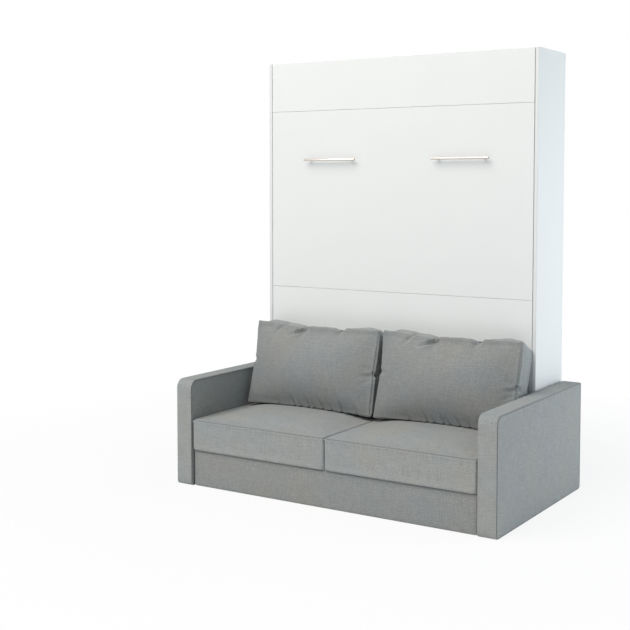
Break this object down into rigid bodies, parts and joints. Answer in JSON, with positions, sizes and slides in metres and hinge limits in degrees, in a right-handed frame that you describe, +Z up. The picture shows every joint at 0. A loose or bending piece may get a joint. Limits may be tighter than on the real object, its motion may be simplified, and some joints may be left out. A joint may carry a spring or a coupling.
{
  "type": "wall bed with sofa",
  "caption": "Upright wall bed whose panelled bed folds down over a sofa with loose seat and back cushions, on side pivots, gas springs and a self-folding leg frame.",
  "frame": {"origin": "on the floor, in the middle of the whole footprint of cabinet and sofa", "axes": "+X to the right as one faces the cabinet, +Y into the wall, +Z up"},
  "size_m": [1.788, 1.035, 2.2],
  "materials": {
    "white_board": "particle board faced with satin white melamine",
    "carcass_board": "particle board faced with satin white melamine, slightly cooler",
    "grey_fabric": "mottled mid grey woven upholstery fabric with piped seams",
    "bed_steel": "powder coated silver grey",
    "zinc_steel": "zinc plated",
    "spring_black": "black painted tube",
    "spring_rod": "polished rod",
    "handle_steel": "brushed nickel",
    "birch_slat": "lacquered birch plywood",
    "sofa_board": "raw particle board",
    "mattress_ticking": "off-white knitted ticking",
    "strap_webbing": "black webbing",
    "buffer_rubber": "black rubber"
  },
  "bodies": {
    "root": {"side_panel_left": "carcass_board", "side_panel_right": "carcass_board", "top_board": "carcass_board", "plinth_board": "carcass_board", "bottom_board": "carcass_board", "rear_rail_top": "carcass_board", "rear_rail_middle": "carcass_board", "rear_rail_bottom": "carcass_board", "buffer_left": "buffer_rubber", "buffer_right": "buffer_rubber", "wall_bracket_left": "zinc_steel", "wall_bracket_right": "zinc_steel", "pivot_bracket_left": "zinc_steel", "pivot_bracket_right": "zinc_steel", "spring_mount_left": "zinc_steel", "spring_mount_right": "zinc_steel", "arm_left": "grey_fabric", "arm_right": "grey_fabric", "base_front": "grey_fabric", "base_back": "sofa_board", "base_side_left": "sofa_board", "base_side_right": "sofa_board", "base_rib": "sofa_board", "arm_spacer_left": "sofa_board", "arm_spacer_right": "sofa_board", "seat_deck": "sofa_board", "seat_cushion_left": "grey_fabric", "seat_cushion_right": "grey_fabric"},
    "bed": {"front_panel_bottom": "white_board", "front_panel_middle": "white_board", "front_panel_top": "white_board", "bed_rail_left": "bed_steel", "bed_rail_right": "bed_steel", "head_rail": "bed_steel", "foot_rail": "bed_steel", "centre_beam": "bed_steel", "slat_bank": "birch_slat", "mattress": "mattress_ticking", "mattress_strap": "strap_webbing", "hinge_plate_left": "zinc_steel", "hinge_plate_right": "zinc_steel", "handle_bar_left": "handle_steel", "handle_bar_right": "handle_steel", "handle_post_left_inner": "handle_steel", "handle_post_left_outer": "handle_steel", "handle_post_right_inner": "handle_steel", "handle_post_right_outer": "handle_steel", "leg_bracket_left": "zinc_steel", "leg_bracket_right": "zinc_steel"},
    "leg_frame": {"leg_left": "bed_steel", "leg_right": "bed_steel", "leg_crossbar": "bed_steel"},
    "spring_left": {"spring_cylinder_left": "spring_black"},
    "spring_right": {"spring_cylinder_right": "spring_black"},
    "rod_left": {"spring_rod_left": "spring_rod"},
    "rod_right": {"spring_rod_right": "spring_rod"},
    "cushion_left": {"back_cushion_left": "grey_fabric"},
    "cushion_right": {"back_cushion_right": "grey_fabric"}
  },
  "joints": [
    {"name": "bed_fold", "type": "hinge", "parent": "root", "child": "bed", "pos_m": [0, 0.1975, 0.414], "axis": [1, 0, 0], "range_deg": [0, 90]},
    {"name": "leg_swing", "type": "hinge", "parent": "bed", "child": "leg_frame", "pos_m": [0, 0.2775, 2.149], "axis": [1, 0, 0], "range_deg": [0, 247.37]},
    {"name": "spring_hinge_left", "type": "hinge", "parent": "root", "child": "spring_left", "pos_m": [-0.748, 0.3175, 0.904], "axis": [1, 0, 0], "range_deg": [0, 17.3]},
    {"name": "spring_hinge_right", "type": "hinge", "parent": "root", "child": "spring_right", "pos_m": [0.748, 0.3175, 0.904], "axis": [1, 0, 0], "range_deg": [0, 17.3]},
    {"name": "rod_slide_left", "type": "slide", "parent": "spring_left", "child": "rod_left", "axis": [0, -0.1293, -0.9916], "range_m": [-0.22896, 0]},
    {"name": "rod_slide_right", "type": "slide", "parent": "spring_right", "child": "rod_right", "axis": [0, -0.1293, -0.9916], "range_m": [-0.22896, 0]},
    {"name": "cushion_off_left", "type": "hinge", "parent": "root", "child": "cushion_left", "pos_m": [-0.384, -0.90231, -0.57715], "axis": [1, 0, 0], "range_deg": [0, 102.49]},
    {"name": "cushion_off_right", "type": "hinge", "parent": "root", "child": "cushion_right", "pos_m": [0.397, -0.90231, -0.57715], "axis": [1, 0, 0], "range_deg": [0, 102.49]}
  ],
  "couplings": [
    {"joint": "leg_swing", "follows": "bed_fold", "ratio": 2.7484},
    {"joint": "spring_hinge_left", "follows": "bed_fold", "ratio": 0.19219},
    {"joint": "spring_hinge_right", "follows": "bed_fold", "ratio": 0.19219},
    {"joint": "rod_slide_left", "follows": "bed_fold", "m_per_rad": -0.14575},
    {"joint": "rod_slide_right", "follows": "bed_fold", "m_per_rad": -0.14575},
    {"joint": "cushion_off_left", "follows": "bed_fold", "ratio": 1.1388},
    {"joint": "cushion_off_right", "follows": "bed_fold", "ratio": 1.1388}
  ]
}
